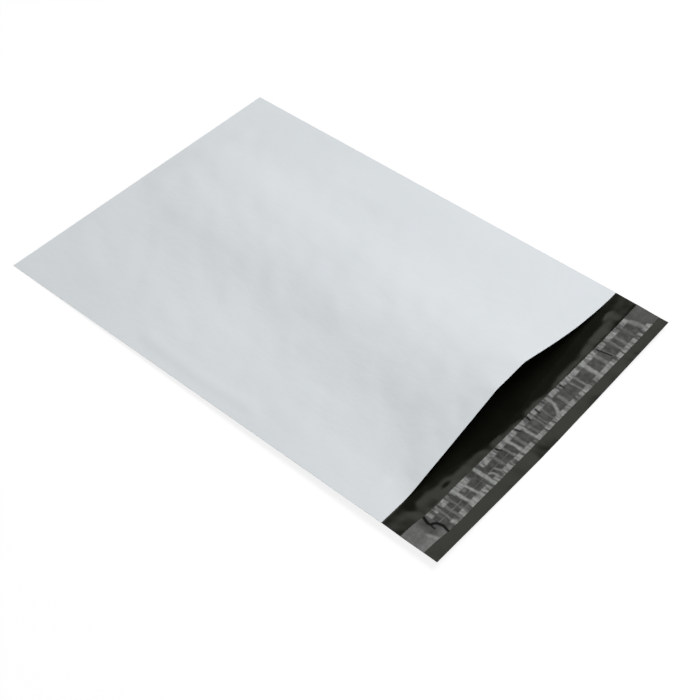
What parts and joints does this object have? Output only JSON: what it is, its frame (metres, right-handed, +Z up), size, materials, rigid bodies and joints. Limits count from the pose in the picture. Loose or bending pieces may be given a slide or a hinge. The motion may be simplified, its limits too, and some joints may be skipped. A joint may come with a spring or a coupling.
{
  "type": "poly mailing bag",
  "caption": "Flat polyethylene mailing bag, white outside and black inside, lying on its back with its mouth open and a peel-off liner over the adhesive on its lip.",
  "frame": {"origin": "on the floor under the middle of the bag's rectangle, lip included", "axes": "+X across the bag, +Y along it to the closed end, so that the mouth and the lip face -Y, +Z up"},
  "size_m": [0.305, 0.457, 0.0347],
  "materials": {
    "film": "co-extruded polyethylene film, satin white outside and glossy black inside",
    "adhesive": "clear hot-melt, wet to the black film under it",
    "liner": "translucent silicone-coated film, hazy where it stands off the adhesive"
  },
  "bodies": {
    "root": {"bag_film": "film", "adhesive_strip": "adhesive", "release_liner": "liner"}
  },
  "joints": []
}
